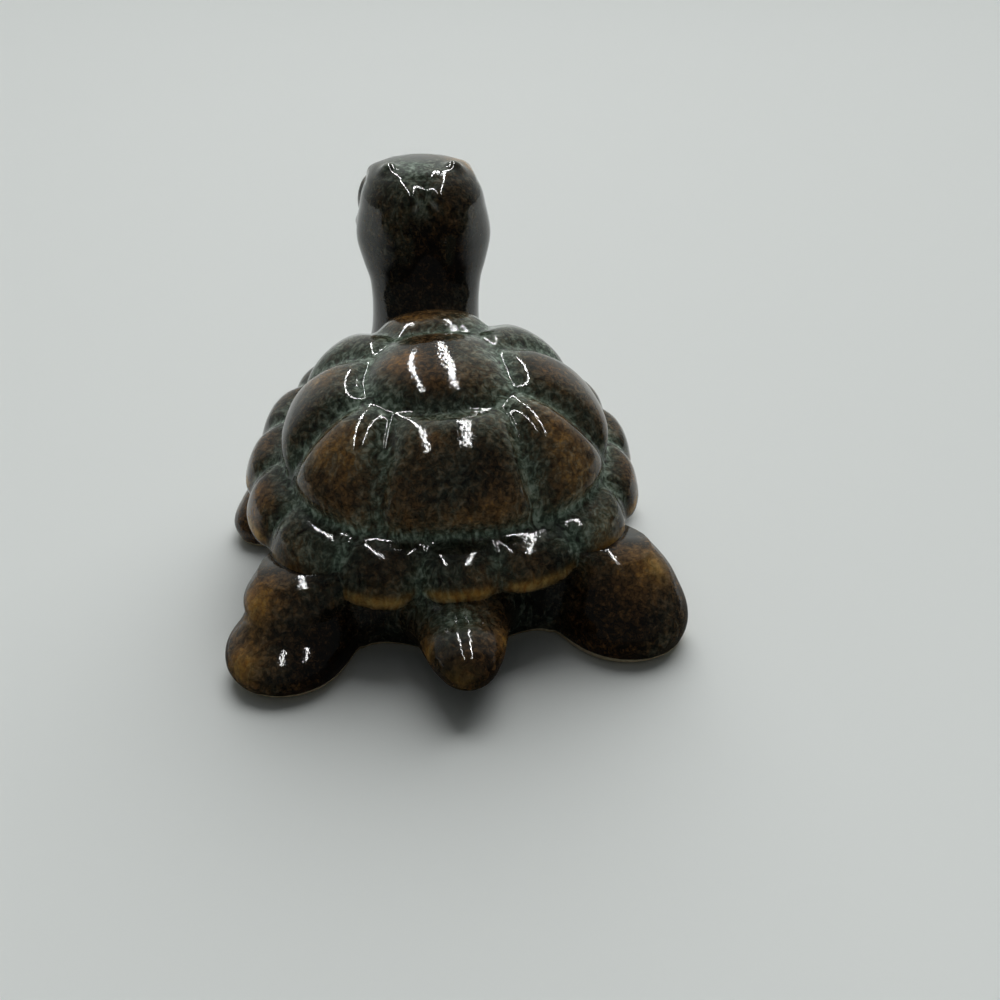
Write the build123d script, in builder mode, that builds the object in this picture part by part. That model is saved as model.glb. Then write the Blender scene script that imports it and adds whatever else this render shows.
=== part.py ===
from build123d import *
import math
import os

# Slip-cast turtle figurine, in millimetres and degrees.
# +Z is up, the head looks along -Y and +X is the turtle's left side.
# The origin is on the table, midway between the tail's tip and the snout.
# "Back" below is measured along +Y from the middle of the shell.

# Making
WALL = 4.0                  # cast wall of the shell, the body and the neck
SLIP_GAP = 0.3              # room for slip beside a located piece

# Stance of the shell
SHELL_HEIGHT = 29.6         # table to the shell's centre
SHELL_TILT = 13.0           # front of the shell raised

# Shell outline, from its centre to the rim's edge
SHELL_HALF_WIDTH = 46.5
SHELL_REAR = 47.0
SHELL_FRONT = 45.5
REAR_CORNER = 49.5          # flared corner over a rear leg
REAR_CORNER_ANGLE = 43.0    # from straight back
FRONT_CORNER = 45.5
FRONT_CORNER_ANGLE = 135.0

# Shell section, in the shell's own frame
SEAT_DROP = 5.0             # shell centre down to the seat on the body
RIM_DROP = 2.3              # shell centre down to the rim's edge
RIM_UNDERCUT = 3.0          # rim's edge in to its underside
RIM_WIDTH = 9.0             # rim's edge in to the valley at the dome's foot
VALLEY_RISE = 6.5           # valley above the shell's centre
DOME_RADIUS = 38.5
DOME_RISE = 26.6            # dome's top above the shell's centre

# Raised plates
PLATE_RISE = 3.4            # plate's crown above the dome
PLATE_GAP = 1.6             # groove between two plates
PLATE_CORNER = 2.5          # corner radius of a plate in plan
PLATE_EDGE = 1.5            # rounding along a plate's edge
SPINE_BULGE = 33.0          # radius of a spine plate's crown
SIDE_BULGE = 27.0           # radius of a side plate's crown
RIM_PLATES = 16             # steps round the rim, the front one left out for the neck
RIM_PLATE_RISE = 2.0
RIM_PLATE_BULGE = 20.0

# Plate outlines in plan on the shell: out from the middle and back, the left half of a spine plate
SPINE_PLATES = [
    [(12.0, 15.0), (17.0, 38.0), (0.0, 41.0)],
    [(0.0, -14.5), (10.0, -14.0), (15.5, -6.0), (16.5, 9.5), (12.0, 15.0)],
    [(15.0, -33.0), (10.0, -14.0), (0.0, -14.5)],
]
SIDE_PLATES = [
    [(12.0, 15.0), (16.5, 9.5), (36.0, 12.5), (33.5, 22.0), (27.0, 31.0), (17.0, 38.0)],
    [(16.5, 9.5), (15.5, -6.0), (36.0, -12.0), (38.0, 0.0), (36.0, 12.5)],
    [(15.5, -6.0), (10.0, -14.0), (15.0, -33.0), (28.0, -27.0), (36.0, -12.0)],
]

# Body
BODY_WIDTH = 70.0
BODY_LENGTH = 80.0
BODY_CORNER = 28.0
LIP_WIDTH = 2.5             # shell's locating lip inside the body wall
LIP_DEPTH = 2.5
LEDGE = 2.0                 # ledge in the wall that the base slab seats on
SLAB_THICKNESS = 4.0
SLAB_RECESS = 1.0           # slab held clear of the table
VENT_DIAMETER = 12.0
NECK_VENT_DIAMETER = 9.0
NECK_VENT_HEIGHT = 22.0

# Legs as level ovals: height, out, back, half width, half length, turn
REAR_LEFT_LEG = [
    (0.0, 37.5, 43.2, 13.2, 11.2, 0.0),
    (4.5, 38.0, 43.6, 14.2, 12.0, 0.0),
    (8.5, 37.6, 42.2, 12.8, 10.8, 0.0),
    (11.5, 37.6, 39.8, 10.2, 9.6, 0.0),
    (15.0, 37.0, 37.0, 10.2, 9.8, 0.0),
    (19.0, 35.0, 34.0, 9.0, 8.6, 0.0),
]
REAR_RIGHT_LEG = [
    (0.0, 38.6, 42.8, 13.2, 11.8, 0.0),
    (4.5, 39.2, 43.0, 13.8, 12.0, 0.0),
    (8.5, 39.6, 42.4, 13.0, 11.2, 0.0),
    (12.0, 39.6, 40.8, 11.6, 10.2, 0.0),
    (16.0, 39.2, 38.6, 9.8, 9.0, 0.0),
    (20.0, 37.0, 35.6, 8.2, 8.0, 0.0),
]
FRONT_LEG = [
    (0.0, 42.0, -17.0, 10.3, 14.0, -42.0),
    (4.5, 42.4, -17.0, 11.0, 14.6, -42.0),
    (9.0, 41.0, -18.5, 10.2, 13.2, -42.0),
    (14.0, 38.0, -21.5, 9.6, 11.0, -42.0),
    (20.0, 34.5, -25.0, 10.2, 10.4, -42.0),
    (28.0, 31.0, -28.0, 8.5, 8.5, -42.0),
]

HAUNCH = [
    (0.0, 24.0, 36.2, 9.0, 6.4, 0.0),
    (7.0, 24.0, 36.0, 9.0, 6.0, 0.0),
    (14.0, 24.5, 34.0, 9.0, 5.6, 0.0),
]

# Tail as upright ovals: back, height, half width, half height
TAIL = [
    (34.0, 8.0, 10.5, 6.6),
    (48.0, 8.8, 10.4, 6.8),
    (55.0, 9.4, 9.0, 6.4),
    (60.5, 9.6, 7.2, 5.4),
    (65.0, 9.6, 4.6, 3.7),
    (67.5, 9.5, 1.7, 1.5),
]

# Neck and head as level egg shapes: height, back, half width, front reach, rear reach
NECK = [
    (6.0, -31.0, 9.0, 7.5, 7.0),
    (14.0, -35.0, 14.5, 12.5, 10.0),
    (24.0, -38.5, 16.6, 15.0, 13.0),
    (36.0, -42.5, 16.0, 15.0, 14.5),
    (49.0, -46.0, 14.8, 13.8, 13.8),
    (57.0, -47.5, 15.2, 15.5, 13.8),
]
HEAD = [
    (62.5, -49.5, 16.9, 22.0, 14.6),
    (68.5, -51.0, 18.3, 24.6, 15.8),
    (76.0, -51.5, 17.9, 24.2, 16.0),
    (82.5, -51.5, 15.6, 20.0, 14.6),
    (86.5, -51.5, 11.8, 14.0, 11.2),
    (88.6, -51.5, 6.0, 7.0, 6.0),
]
JAW = 1                     # row of the head at the mouth line
MOUTH_DEPTH = 1.2
MOUTH_WIDTH = 1.0
MOUTH_CORNER = 7.0          # ahead of the head's middle
EYE_OUT = 12.2
EYE_BACK = -61.0
EYE_HEIGHT = 77.0
EYE_RADIUS = 6.4
BROW_OUT = 12.0             # brow ridge at the eye
BROW_BACK = -59.5
BROW_HEIGHT = 84.3
CROWN_OUT = 3.8             # the same ridge at the back of the crown
CROWN_BACK = -38.4
CROWN_HEIGHT = 81.2
BROW_RADIUS = 2.4
LOBE_OUT = 7.6              # swelling at the back of the head
LOBE_BACK = -45.0
LOBE_HEIGHT = 72.0
LOBE_RADIUS = 9.4
NOSE = 2                    # row of the head at the nostrils
NOSTRIL_OUT = 3.0
NOSTRIL_RADIUS = 1.0

# Worked out from the sizes above
SNOUT = min(back - front for _, back, _, front, _ in HEAD)
TAIL_TIP = TAIL[-1][0]
SHELL_Y = -(SNOUT + TAIL_TIP) / 2
LEAN = math.radians(SHELL_TILT)
SHELL = Plane(
    origin=(0, SHELL_Y, SHELL_HEIGHT),
    x_dir=(1, 0, 0),
    z_dir=(0, math.sin(LEAN), math.cos(LEAN)),
)
SHELL_AXIS = Axis(SHELL.origin, SHELL.z_dir)
SEAT = SHELL.offset(-SEAT_DROP)
SLAB_TOP = SLAB_RECESS + SLAB_THICKNESS
TALL = 3 * SHELL_HEIGHT     # longer than any cut needs


def polar(radius, angle):
    """Plan point on the shell, with the angle from straight back towards the left."""
    turn = math.radians(angle)
    return radius * math.sin(turn), radius * math.cos(turn)


def shell_outline(inset):
    """Closed curve of the shell in plan, drawn in from the rim's edge."""
    left = [
        polar(REAR_CORNER - inset, REAR_CORNER_ANGLE),
        (SHELL_HALF_WIDTH - inset, 0),
        polar(FRONT_CORNER - inset, FRONT_CORNER_ANGLE),
    ]
    right = [(-x, y) for x, y in reversed(left)]
    return Spline((0, inset - SHELL_FRONT), *right, (0, SHELL_REAR - inset), *left, periodic=True)


def rim_form():
    """Flared rim of the shell, filled to the middle."""
    with BuildPart() as solid:
        for inset, height in [
            (RIM_UNDERCUT, -SEAT_DROP),
            (0, -RIM_DROP),
            (RIM_WIDTH, VALLEY_RISE),
        ]:
            with BuildSketch(SHELL.offset(height)):
                with BuildLine():
                    shell_outline(inset)
                make_face()
        loft(ruled=True)
    return solid.part


def dome_form(skin):
    """Round dome of the shell, thinned all round by a skin and open at the seat."""
    with BuildPart() as solid:
        with BuildSketch(Plane(SHELL.origin, x_dir=SHELL.x_dir, z_dir=-SHELL.y_dir)):
            Ellipse(DOME_RADIUS - skin, DOME_RISE - skin)
            Rectangle(TALL, TALL, align=(Align.MAX, Align.CENTER), mode=Mode.SUBTRACT)
            with Locations((0, -SEAT_DROP)):
                Rectangle(TALL, TALL, align=(Align.CENTER, Align.MAX), mode=Mode.SUBTRACT)
        revolve(axis=SHELL_AXIS)
    return solid.part


def dome_crown(corners):
    """Point of the dome over the middle of a plan outline, and the direction out of it."""
    middle = sum((Vector(*corner) for corner in corners), Vector()) / len(corners)
    height = DOME_RISE * math.sqrt(1 - (middle.length / DOME_RADIUS) ** 2)
    slope = middle / DOME_RADIUS**2 + Vector(0, 0, height / DOME_RISE**2)
    return middle + Vector(0, 0, height), slope.normalized()


def plate(corners, crown, outward, bulge):
    """Raised plate: a ball's cap over a plan outline, with its crown given."""
    with BuildPart() as pad:
        with BuildSketch(SEAT) as outline:
            with BuildLine():
                Polyline(*corners, close=True)
            make_face()
            offset(amount=-PLATE_GAP / 2, kind=Kind.INTERSECTION)
            fillet(outline.vertices(), radius=PLATE_CORNER)
        extrude(amount=TALL)
        with Locations(SHELL.from_local_coords(crown - outward * bulge)):
            Sphere(bulge, mode=Mode.INTERSECT)
        edges = pad.faces().filter_by(GeomType.SPHERE).edges()
        fillet(edges.filter_by_position(SHELL_AXIS, PLATE_EDGE - SEAT_DROP, TALL), radius=PLATE_EDGE)
    return pad.part


def level_ovals(sections, side):
    """Leg through level ovals, on one side of the body."""
    with BuildPart() as solid:
        for height, out, back, half_width, half_length, turn in sections:
            with BuildSketch(Plane((side * out, SHELL_Y + back, height))):
                Ellipse(half_width, half_length, rotation=side * turn)
        loft()
    return solid.part


def egg(half_width, front, rear):
    """Egg-shaped outline, its front towards -Y."""
    EllipticalCenterArc((0, 0), half_width, rear, 0, arc_size=180)
    EllipticalCenterArc((0, 0), half_width, front, 180, arc_size=180)


def level_eggs(sections, skin):
    """Neck and head through level egg shapes, thinned all round by a skin."""
    with BuildPart() as solid:
        for height, back, half_width, front, rear in sections:
            with BuildSketch(Plane((0, SHELL_Y + back, height))):
                with BuildLine():
                    egg(half_width - skin, front - skin, rear - skin)
                make_face()
        loft()
    return solid.part


def body_prism(inset, bottom):
    """Upright prism of the body's plan, drawn in all round and cut off at the shell's seat."""
    with BuildPart() as solid:
        with BuildSketch(Plane((0, SHELL_Y, bottom))):
            RectangleRounded(BODY_WIDTH - 2 * inset, BODY_LENGTH - 2 * inset, BODY_CORNER - inset)
        extrude(amount=TALL)
        split(bisect_by=SEAT, keep=Keep.BOTTOM)
    return solid.part


body_form = body_prism(0, 0)
neck_form = level_eggs(NECK + HEAD, 0)

# Room that the shell and its plates take above the seat
with BuildPart() as shell_room:
    with BuildSketch(SEAT):
        with BuildLine():
            shell_outline(-RIM_UNDERCUT)
        make_face()
    extrude(amount=TALL)

# Plates of the shell: along the spine, down both sides and round the rim
rim_normal = Vector(VALLEY_RISE + RIM_DROP, 0, RIM_WIDTH).normalized()
with BuildLine():
    rim_edge = shell_outline(-RIM_UNDERCUT)
with BuildLine():
    rim_middle = shell_outline(RIM_WIDTH / 2)
with BuildLine():
    valley = shell_outline(RIM_WIDTH)

plates = []
for left in SPINE_PLATES:
    corners = left + [(-x, y) for x, y in reversed(left) if x > 0]
    crown, outward = dome_crown(corners)
    plates.append(plate(corners, crown + outward * PLATE_RISE, outward, SPINE_BULGE))
for left in SIDE_PLATES:
    for side in (1, -1):
        corners = [(side * x, y) for x, y in left]
        crown, outward = dome_crown(corners)
        plates.append(plate(corners, crown + outward * PLATE_RISE, outward, SIDE_BULGE))
for step in range(1, RIM_PLATES):
    before = (step - 0.5) / RIM_PLATES
    after = (step + 0.5) / RIM_PLATES
    corners = [valley @ before, rim_edge @ before, rim_edge @ after, valley @ after]
    crown = rim_middle @ (step / RIM_PLATES)
    outward = crown.normalized() * rim_normal.X + Vector(0, 0, rim_normal.Z)
    crown += Vector(0, 0, (VALLEY_RISE - RIM_DROP) / 2) + outward * RIM_PLATE_RISE
    plates.append(plate([(corner.X, corner.Y) for corner in corners], crown, outward, RIM_PLATE_BULGE))

# Carapace: hollow, notched for the neck, with a lip that locates it in the body
with BuildPart() as carapace:
    add(rim_form())
    add([dome_form(0)] + plates)
    add(dome_form(WALL), mode=Mode.SUBTRACT)
    add(body_prism(WALL + SLIP_GAP, 0))
    add(body_prism(WALL + SLIP_GAP + LIP_WIDTH, 0), mode=Mode.SUBTRACT)
    split(bisect_by=SEAT.offset(-LIP_DEPTH), keep=Keep.TOP)
    add(neck_form, mode=Mode.SUBTRACT)

# Underbody: the wall that stands on the table, rebated for the slab, with a vent into the neck
with BuildPart() as underbody:
    add(body_form)
    add(body_prism(WALL, SLAB_TOP), mode=Mode.SUBTRACT)
    with BuildSketch(Plane((0, SHELL_Y, 0))):
        inset = WALL - LEDGE
        RectangleRounded(BODY_WIDTH - 2 * inset, BODY_LENGTH - 2 * inset, BODY_CORNER - inset)
    extrude(amount=SLAB_TOP, mode=Mode.SUBTRACT)
    with BuildSketch(Plane((0, SHELL_Y, NECK_VENT_HEIGHT), x_dir=(1, 0, 0), z_dir=(0, -1, 0))):
        Circle(NECK_VENT_DIAMETER / 2)
    extrude(amount=BODY_LENGTH, mode=Mode.SUBTRACT)

# Base slab: seated up against the ledge, with the vent that every hollow casting needs
with BuildPart() as base_slab:
    with BuildSketch(Plane((0, SHELL_Y, SLAB_RECESS))):
        inset = WALL - LEDGE + SLIP_GAP
        RectangleRounded(BODY_WIDTH - 2 * inset, BODY_LENGTH - 2 * inset, BODY_CORNER - inset)
    extrude(amount=SLAB_THICKNESS)
    Hole(VENT_DIAMETER / 2)

# Head and neck: one hollow casting butted on the front of the body
with BuildPart() as head_and_neck:
    add(neck_form)
    for side in (1, -1):
        with Locations((side * EYE_OUT, SHELL_Y + EYE_BACK, EYE_HEIGHT)):
            Sphere(EYE_RADIUS)
        with Locations((side * LOBE_OUT, SHELL_Y + LOBE_BACK, LOBE_HEIGHT)):
            Sphere(LOBE_RADIUS)
        brow = Vector(side * BROW_OUT, SHELL_Y + BROW_BACK, BROW_HEIGHT)
        crown = Vector(side * CROWN_OUT, SHELL_Y + CROWN_BACK, CROWN_HEIGHT)
        with Locations(brow, crown):
            Sphere(BROW_RADIUS)
        with BuildSketch(Plane(brow, z_dir=crown - brow)):
            Circle(BROW_RADIUS)
        extrude(amount=(crown - brow).length)
    height, back, half_width, front, rear = HEAD[JAW]
    with BuildSketch(Plane((0, SHELL_Y + back, height - MOUTH_WIDTH / 2))):
        with BuildLine():
            egg(half_width + MOUTH_DEPTH, front + MOUTH_DEPTH, rear + MOUTH_DEPTH)
        make_face()
        with BuildLine():
            egg(half_width - MOUTH_DEPTH, front - MOUTH_DEPTH, rear - MOUTH_DEPTH)
        make_face(mode=Mode.SUBTRACT)
        with Locations((0, -MOUTH_CORNER)):
            Rectangle(TALL, TALL, align=(Align.CENTER, Align.MIN), mode=Mode.SUBTRACT)
    extrude(amount=MOUTH_WIDTH, mode=Mode.SUBTRACT)
    height, back, half_width, front, rear = HEAD[NOSE]
    nostril_y = SHELL_Y + back - front * math.sqrt(1 - (NOSTRIL_OUT / half_width) ** 2)
    with Locations((NOSTRIL_OUT, nostril_y, height), (-NOSTRIL_OUT, nostril_y, height)):
        Sphere(NOSTRIL_RADIUS, mode=Mode.SUBTRACT)
    add(level_eggs(NECK + HEAD[:-2], WALL), mode=Mode.SUBTRACT)
    add(body_form, mode=Mode.SUBTRACT)

# Tail: solid, butted on the back of the body under the rim
with BuildPart() as tail:
    for back, height, half_width, half_height in TAIL:
        with BuildSketch(Plane((0, SHELL_Y + back, height), x_dir=(-1, 0, 0), z_dir=(0, 1, 0))):
            Ellipse(half_width, half_height)
    loft()
    add(body_form, mode=Mode.SUBTRACT)
    add(shell_room.part, mode=Mode.SUBTRACT)

pieces = {
    "carapace": carapace.part,
    "underbody": underbody.part,
    "base_slab": base_slab.part,
    "head_and_neck": head_and_neck.part,
    "tail": tail.part,
}

# Legs: solid, butted on the body's sides under the rim, a rear one with its haunch
for name, forms, side in [
    ("front_left_leg", [FRONT_LEG], 1),
    ("front_right_leg", [FRONT_LEG], -1),
    ("rear_left_leg", [REAR_LEFT_LEG, HAUNCH], 1),
    ("rear_right_leg", [REAR_RIGHT_LEG, HAUNCH], -1),
]:
    with BuildPart() as leg:
        add([level_ovals(sections, side) for sections in forms])
        add(body_form, mode=Mode.SUBTRACT)
        add(shell_room.part, mode=Mode.SUBTRACT)
    pieces[name] = leg.part

os.makedirs("parts", exist_ok=True)
for name, piece in pieces.items():
    piece.label = name
    export_step(piece, f"parts/{name}.step")
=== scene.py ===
"""Looks of a glazed ceramic turtle figurine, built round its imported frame."""

import math

import bpy
import numpy as np
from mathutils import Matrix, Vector


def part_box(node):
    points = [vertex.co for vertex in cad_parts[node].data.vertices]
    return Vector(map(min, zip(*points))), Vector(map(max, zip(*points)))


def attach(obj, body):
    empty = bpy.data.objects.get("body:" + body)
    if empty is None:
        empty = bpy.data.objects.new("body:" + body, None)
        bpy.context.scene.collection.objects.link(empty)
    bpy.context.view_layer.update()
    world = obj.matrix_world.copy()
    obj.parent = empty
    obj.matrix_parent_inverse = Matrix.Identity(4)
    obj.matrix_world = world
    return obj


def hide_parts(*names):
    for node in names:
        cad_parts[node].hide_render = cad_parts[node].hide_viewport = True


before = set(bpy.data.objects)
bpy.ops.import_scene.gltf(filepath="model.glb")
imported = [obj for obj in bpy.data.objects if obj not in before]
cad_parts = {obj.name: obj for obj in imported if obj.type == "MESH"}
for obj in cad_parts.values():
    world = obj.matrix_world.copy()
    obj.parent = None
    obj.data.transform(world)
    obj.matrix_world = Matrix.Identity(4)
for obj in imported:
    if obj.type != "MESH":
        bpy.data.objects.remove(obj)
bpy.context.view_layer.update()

bl_info = {
    "name": "Glazed Turtle Figurine",
    "version": (1, 0, 0),
    "blender": (4, 5, 0),
    "location": "View3D > Sidebar > Turtle",
    "description": "Builds the glazed surfaces, the materials and the stage of a ceramic turtle",
    "category": "Add Mesh",
}

# Lengths below are millimetres, measured from the middle of the shell:
# x to the turtle's left, y back towards the tail, z up from the table.
MM = 0.001
BODY_LOW, BODY_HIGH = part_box("underbody")
SHELL_Y = (BODY_LOW[1] + BODY_HIGH[1]) / 2 / MM
BODY_HALF_WIDTH = (BODY_HIGH[0] - BODY_LOW[0]) / 2 / MM
BODY_HALF_LENGTH = (BODY_HIGH[1] - BODY_LOW[1]) / 2 / MM
SLAB_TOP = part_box("base_slab")[1][2] / MM
# Power of the body's squared oval in plan, its wall, the slab's rebate and the round at the table
BODY_POWER = 2.9
WALL = 4.0
REBATE = 2.0
SOLE_RADIUS = 0.9
# How far the slip in each joint with the body rounds it
REACH = {
    "head_and_neck": 8.0, "tail": 14.0, "rear_left_leg": 17.0, "rear_right_leg": 16.0,
    "front_left_leg": 7.0, "front_right_leg": 7.0,
}

# Legs as level ovals: height, out, back, half width, half length, turn in degrees
REAR_LEFT_LEG = np.array([
    (0.0, 38.4, 44.0, 12.2, 11.4, 0.0),
    (4.0, 38.8, 44.4, 13.2, 12.4, 0.0),
    (7.5, 38.4, 43.2, 12.8, 11.6, 0.0),
    (10.0, 37.6, 40.8, 11.0, 9.8, 0.0),
    (11.6, 37.5, 39.4, 10.0, 9.4, 0.0),
    (15.0, 37.0, 37.0, 10.3, 9.9, 0.0),
    (19.0, 35.0, 34.0, 9.0, 8.6, 0.0),
])
REAR_RIGHT_LEG = np.array([
    (0.0, 38.6, 42.8, 13.2, 11.6, 0.0),
    (4.5, 39.2, 43.0, 13.8, 12.0, 0.0),
    (8.5, 39.6, 42.4, 13.0, 11.2, 0.0),
    (12.0, 39.6, 40.8, 11.6, 10.2, 0.0),
    (16.0, 39.2, 38.6, 9.8, 9.0, 0.0),
    (20.0, 37.0, 35.6, 8.2, 8.0, 0.0),
])
FRONT_LEG = np.array([
    (0.0, 42.0, -17.0, 10.1, 13.8, -42.0),
    (4.5, 42.4, -17.0, 11.0, 14.6, -42.0),
    (9.0, 41.0, -18.5, 10.2, 13.2, -42.0),
    (14.0, 38.0, -21.5, 9.6, 11.0, -42.0),
    (20.0, 34.5, -25.0, 10.2, 10.4, -42.0),
    (25.5, 31.8, -27.2, 9.4, 9.4, -42.0),
    (29.5, 29.4, -28.8, 6.8, 6.8, -42.0),
    (31.6, 27.8, -29.6, 2.4, 2.4, -42.0),
])
LEGS = {
    "rear_left_leg": (REAR_LEFT_LEG, 1.0),
    "rear_right_leg": (REAR_RIGHT_LEG, -1.0),
    "front_left_leg": (FRONT_LEG, 1.0),
    "front_right_leg": (FRONT_LEG, -1.0),
}
# Tail as upright ovals: back, height, half width, half height
TAIL = np.array([
    (34.0, 8.0, 10.5, 6.6),
    (48.0, 8.8, 10.4, 6.8),
    (55.0, 9.4, 9.0, 6.4),
    (60.5, 9.6, 7.2, 5.4),
    (64.8, 9.6, 4.6, 3.7),
    (67.0, 9.5, 1.7, 1.5),
])
# Neck and head as level egg shapes: height, back, half width, front reach, rear reach
HEAD = np.array([
    (6.0, -31.0, 9.0, 7.5, 7.0),
    (14.0, -35.0, 14.5, 12.5, 10.0),
    (24.0, -38.5, 16.6, 15.0, 13.0),
    (36.0, -42.5, 16.0, 15.0, 14.5),
    (49.0, -46.0, 14.8, 13.8, 17.0),
    (54.0, -47.0, 14.9, 14.5, 15.6),
    (58.0, -47.8, 15.4, 16.2, 14.0),
    (62.5, -49.5, 16.9, 22.0, 14.6),
    (68.5, -51.0, 18.3, 24.6, 15.8),
    (76.0, -51.5, 17.2, 24.2, 16.0),
    (82.4, -51.8, 15.2, 19.7, 14.9),
    (85.4, -53.6, 13.0, 14.6, 13.2),
    (87.1, -55.0, 9.4, 10.0, 10.6),
    (87.8, -55.6, 5.4, 5.6, 6.4),
])
# Brow ridge from the back of the crown to over the eye, and the eye, on the left
BROW = [(3.4, -37.8, 81.2), (8.2, -48.7, 85.4), (11.8, -59.5, 83.5)]
BROW_RADIUS = 2.3
EYE = (10.9, -63.0, 76.4)
EYE_RADIUS = 5.9
EYE_LOOK = (0.84, -0.52, 0.12)
# Snout's tip, the mouth's height there and its climb towards the back, and the left nostril
SNOUT_Y = -75.7
MOUTH_HEIGHT = 67.2
MOUTH_CLIMB = 0.13
NOSTRIL = ((2.5, -76.5, 76.6), (2.7, -76.4, 77.0))
# Rim's edge and the valley at the dome's foot, from the shell's centre:
# rear, rear corner, side, front corner, front
RIM_STATIONS = (48.2, 50.4, 46.6, 46.0, 46.2)
VALLEY_STATIONS = (37.4, 41.2, 37.9, 37.4, 37.4)
# Heights of the valley and the lip over the shell's centre, and the dome's shift in x
VALLEY_HEIGHT = 5.6
LIP_HEIGHT = -5.2
DOME_SHIFT = -0.9
# Powers that blend the distances to the seams, with the valley and with each other: larger is sharper
FOOT_BLEND = 1.8
SEAM_BLEND = 2.4
# Added to a distance so that its powers stay finite
NEAR_ZERO = 0.05
# Seams between the plates in plan on the shell, the left half
SEAMS = [
    [(0.0, 15.2), (6.5, 15.4), (12.0, 14.8)],
    [(12.0, 14.8), (16.5, 9.8)],
    [(12.0, 14.8), (14.6, 21.5), (16.6, 28.5), (17.6, 33.0), (17.2, 38.5)],
    [(16.5, 9.8), (16.6, 2.0), (15.4, -6.0)],
    [(16.5, 9.8), (24.0, 11.4), (30.5, 14.6), (42.0, 20.0)],
    [(15.4, -6.0), (10.4, -13.4)],
    [(15.4, -6.0), (22.5, -10.0), (29.5, -11.2), (39.0, -12.0)],
    [(0.0, -15.0), (6.0, -14.9), (10.4, -13.4)],
    [(10.4, -13.4), (14.6, -22.0), (15.0, -40.0)],
]

# Where the fire turned the glaze amber, and below 0 painted shade on parts turned from the light: x, y, z,
# radius, strength
AMBER_AND_SHADE_PATCHES = [
    (0, -34, 62, 15, -0.7), (0, -30, 44, 14, -0.6), (16, 39, 9, 11, -0.5), (-16, 39, 9, 11, -0.5),
    (-1, 33, 38, 8, -0.5), (0, 40, 29, 8, -0.25), (2, 46, 20, 6, -0.3), (0, 68, 8, 5, -0.3),
    (-32, 52, 8, 9, -0.4), (27, 52, 7, 7, -0.3), (-14, 30, 13, 12, -0.5), (14, 30, 13, 12, -0.5),
    (25, 26, 38, 9, 0.6), (23, 35, 29, 5, 0.5), (26, 0, 48, 7, 0.45), (9, 7, 57, 5, 0.4),
    (-9, 7, 57, 5, 0.4), (-14, 35, 34, 6, 0.6), (12, 36, 34, 6, 0.45), (0, 39, 32, 6, 0.35),
    (-25, 18, 44, 7, 0.6), (-27, 27, 37, 7, 0.6), (36, 34, 21, 7, 0.5),
    (-24, 30, 33, 5, 0.35), (0, -25, 58, 11, 1.4), (-30, 4, 44, 5, 0.25), (43, 20, 24, 6, 0.5),
    (44, 0, 30, 6, 0.4), (-2, 46, 16, 7, 0.7), (14, 45, 15, 8, 0.5), (-34, 36, 18, 7, 0.3),
    (44, 42, 15, 7, 0.9), (48, 51, 7, 5, 0.8), (30, 54, 5, 9, -0.4), (-42, 42, 18, 9, 0.8),
    (0, 62, 12, 4, 0.3), (8, 56, 11, 4, 0.8), (-9, 56, 10, 4, 0.8), (-5, 58, 14, 5, 0.3),
    (-13.6, -56.0, 84.5, 6.0, 1.2),
    (12.6, -59.5, 84, 4, 0.3), (47, -12, 8, 7, 0.5), (-47, -14, 9, 7, 0.45), (-12, -66, 72, 7, 0.4),
    (12, -64, 70, 7, 0.4), (0, -76, 72, 6, 0.45),
]
# Where the glaze broke to gold: x, y, z, radius, strength
GOLD_PATCHES = [
    (46, 43, 16, 4, 0.45), (48, 52, 7, 3.5, 0.4), (-45, 43, 18, 3.5, 0.35), (2, 66, 10, 3, 0.25),
    (9, 57, 10, 2.2, 0.7), (-9.5, 56, 10, 2.2, 0.5), (-13.8, -56.0, 84.8, 3.8, 0.6),
]
# Where the glaze stayed green: x, y, z, radius, strength
GREEN_PATCHES = [
    (24, -18, 50, 9, 0.5), (-22, -14, 50, 9, 0.55), (-32, 34, 24, 8, 0.4), (1, 52, 14, 5.5, 0.8),
    (9, 46, 17, 3.5, 0.8), (1, -49, 88, 8, 0.9), (1, -40, 82, 5, 0.6), (-38, 8, 26, 7, 0.35),
    (30, 34, 22, 7, 0.3),
]

# Sizes in the glaze and the clay, in metres: patterns, depths and the height of the bare band
THREAD_SIZE = 0.0026
DRIFT_SIZE = 0.024
CELL_SIZE = 0.0012
SAG_SIZE, SAG_DEPTH = 0.007, 0.00006
PEEL_SIZE, PEEL_DEPTH = 0.0009, 0.00003
BARE_LOW, BARE_HIGH = 0.0009, 0.0016
GRAIN_SIZE, GRAIN_DEPTH = 0.0012, 0.0002

# Stage in metres in the frame: the floor, where its mirror image darkens along y, and the lights
FLOOR_HALF = 4.0
SHADE_FROM, SHADE_TO = -0.06, 0.067
STRIP_OUT, STRIP_Y, STRIP_HEIGHT = 0.22, -0.55, 1.1
STRIP_WIDTH, STRIP_LENGTH = 0.009, 1.7
ROOM_LIGHT_FROM = (-0.2, -0.76, 0.62)
# Camera and what it looks at, in millimetres from the middle of the shell
CAMERA_PLACE = (15.5, 222.6, 147.0)
CAMERA_TARGET = (-13.4, 12.4, 20.0)
SENSOR_WIDTH = 36.0


def glide(at, stations, values):
    """Smooth curve through values at stations: cubic pieces with matching slopes at the joins."""
    slopes = np.gradient(values, stations)
    left = np.clip(np.searchsorted(stations, at) - 1, 0, len(stations) - 2)
    width = stations[left + 1] - stations[left]
    t = np.clip((at - stations[left]) / width, 0.0, 1.0)
    near = (1 + 2 * t) * (1 - t) ** 2 * values[left] + t * (1 - t) ** 2 * width * slopes[left]
    far = t * t * (3 - 2 * t) * values[left + 1] - t * t * (1 - t) * width * slopes[left + 1]
    return near + far


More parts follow.
